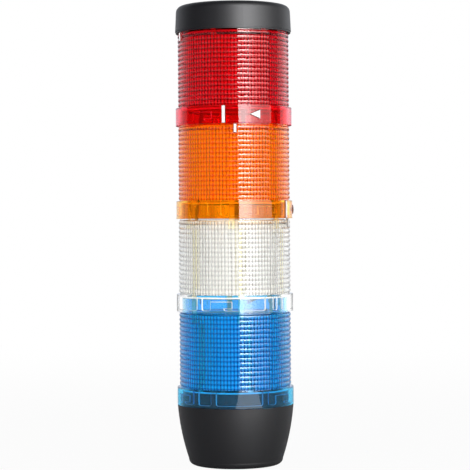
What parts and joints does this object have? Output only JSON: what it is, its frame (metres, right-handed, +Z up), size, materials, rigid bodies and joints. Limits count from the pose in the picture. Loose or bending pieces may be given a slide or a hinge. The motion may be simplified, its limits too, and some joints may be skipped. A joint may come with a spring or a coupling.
{
  "type": "stack light",
  "caption": "Upright signal tower: stacked ribbed colour lens modules with twist-lock collars, a low rounded cap and a tapered base that takes a stand tube.",
  "frame": {"origin": "centre of the flat under the base", "axes": "+Z up along the tower's axis, -Y towards the front that the picture shows, +X to its right"},
  "size_m": [0.0708, 0.0705, 0.276],
  "materials": {
    "housing": "fine matt black moulding",
    "blue_lens": "clear blue moulding, ribbed outside, fluted inside",
    "clear_lens": "colourless clear moulding, ribbed outside, fluted inside",
    "amber_lens": "clear orange moulding, ribbed outside, fluted inside",
    "red_lens": "clear red moulding, ribbed outside, fluted inside",
    "inner_tube": "thin cream translucent tube",
    "carrier": "off-white moulding",
    "contact_metal": "stamped and turned brass",
    "plated_metal": "nickel-plated metal",
    "lamp_glass": "clear glass",
    "seal": "natural silicone rubber"
  },
  "bodies": {
    "base": {"base_housing": "housing", "tube_clamp_screw": "plated_metal", "terminal_insert": "housing", "terminal_clamps": "contact_metal", "contact_posts": "contact_metal", "terminal_screws": "plated_metal", "base_seal": "seal"},
    "blue": {"blue_lens": "blue_lens", "blue_lamp_carrier": "carrier", "blue_inner_tube": "inner_tube", "blue_contact_strips": "contact_metal", "blue_socket_shell": "plated_metal", "blue_lamp_plungers": "contact_metal", "blue_lamp_cap": "contact_metal", "blue_lamp_bulb": "lamp_glass", "blue_seal": "seal"},
    "clear": {"clear_lens": "clear_lens", "clear_lamp_carrier": "carrier", "clear_inner_tube": "inner_tube", "clear_contact_strips": "contact_metal", "clear_socket_shell": "plated_metal", "clear_lamp_plungers": "contact_metal", "clear_lamp_cap": "contact_metal", "clear_lamp_bulb": "lamp_glass", "clear_seal": "seal"},
    "amber": {"amber_lens": "amber_lens", "amber_lamp_carrier": "carrier", "amber_inner_tube": "inner_tube", "amber_contact_strips": "contact_metal", "amber_socket_shell": "plated_metal", "amber_lamp_plungers": "contact_metal", "amber_lamp_cap": "contact_metal", "amber_lamp_bulb": "lamp_glass", "amber_seal": "seal"},
    "red": {"red_lens": "red_lens", "red_lamp_carrier": "carrier", "red_inner_tube": "inner_tube", "red_contact_strips": "contact_metal", "red_socket_shell": "plated_metal", "red_lamp_plungers": "contact_metal", "red_lamp_cap": "contact_metal", "red_lamp_bulb": "lamp_glass", "red_seal": "seal"},
    "cap": {"cap": "housing"}
  },
  "joints": [
    {"name": "blue_twist", "type": "hinge", "parent": "base", "child": "blue", "pos_m": [0, 0, 0.03625], "axis": [0, 0, 1], "range_deg": [0, 11]},
    {"name": "clear_twist", "type": "hinge", "parent": "blue", "child": "clear", "pos_m": [0, 0, 0.09205], "axis": [0, 0, 1], "range_deg": [0, 11]},
    {"name": "amber_twist", "type": "hinge", "parent": "clear", "child": "amber", "pos_m": [0, 0, 0.14785], "axis": [0, 0, 1], "range_deg": [0, 11]},
    {"name": "red_twist", "type": "hinge", "parent": "amber", "child": "red", "pos_m": [0, 0, 0.20365], "axis": [0, 0, 1], "range_deg": [0, 11]},
    {"name": "cap_twist", "type": "hinge", "parent": "red", "child": "cap", "pos_m": [0, 0, 0.25945], "axis": [0, 0, 1], "range_deg": [0, 11]}
  ]
}
